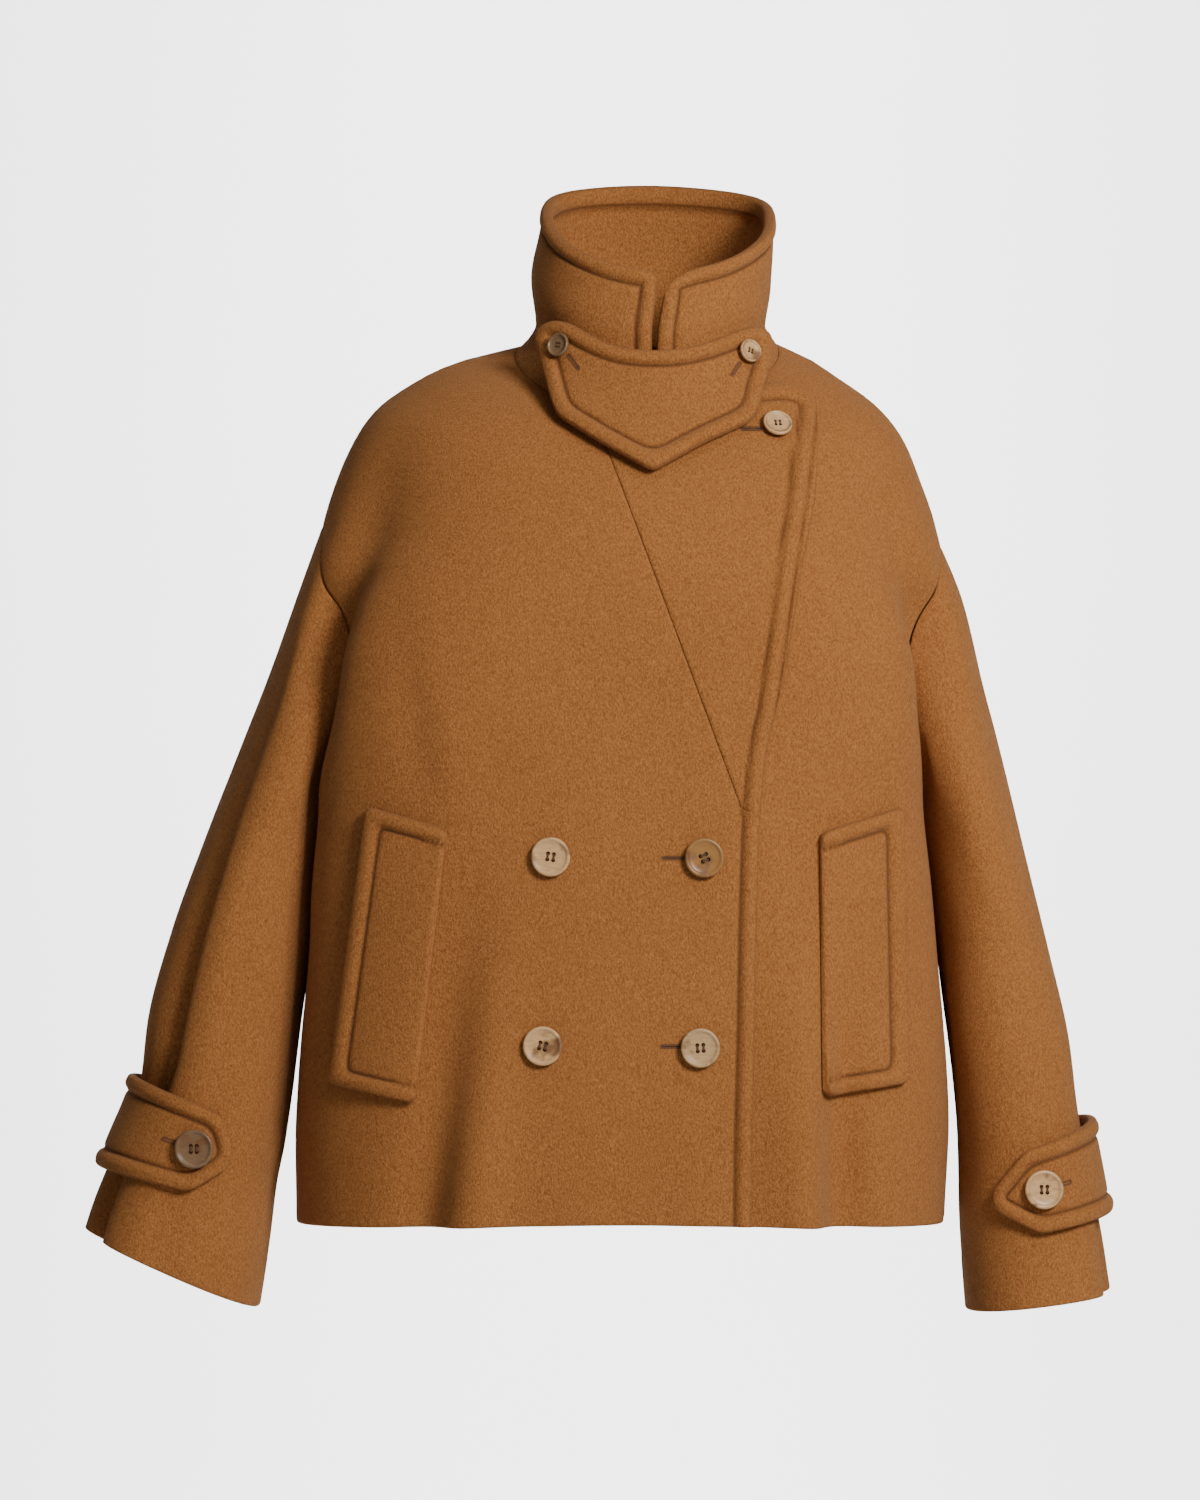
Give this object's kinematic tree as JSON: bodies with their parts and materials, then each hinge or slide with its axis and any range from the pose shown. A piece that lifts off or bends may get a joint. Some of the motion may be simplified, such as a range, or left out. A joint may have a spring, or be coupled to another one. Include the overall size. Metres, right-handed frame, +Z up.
{
  "type": "pea coat",
  "caption": "Cropped double-breasted wool pea coat with a tall stand collar, buttoned throat tab, slanted welt pockets and strapped cuffs, filled out with no wearer.",
  "frame": {"origin": "inside the coat at the height of its shoulders, below the neck", "axes": "+Z up to the neck, +X to the wearer's left, the front faces -Y"},
  "size_m": [0.7655, 0.343, 0.8456],
  "materials": {
    "wool": "brushed wool, matt",
    "horn": "polished horn look",
    "amber_horn": "polished horn look, darker"
  },
  "bodies": {
    "root": {"back": "wool", "right_front": "wool", "right_lapel": "wool", "left_front": "wool", "right_sleeve": "wool", "left_sleeve": "wool", "collar": "wool", "throat_tab": "wool", "right_pocket_welt": "wool", "left_pocket_welt": "wool", "right_cuff_strap": "wool", "left_cuff_strap": "wool", "front_button_upper_right": "horn", "front_button_lower_right": "horn", "front_button_lower_left": "horn", "lapel_button": "horn", "tab_button_right": "horn", "tab_button_left": "horn", "cuff_button_right": "horn", "cuff_button_left": "horn", "front_button_upper_left": "amber_horn"}
  },
  "joints": []
}
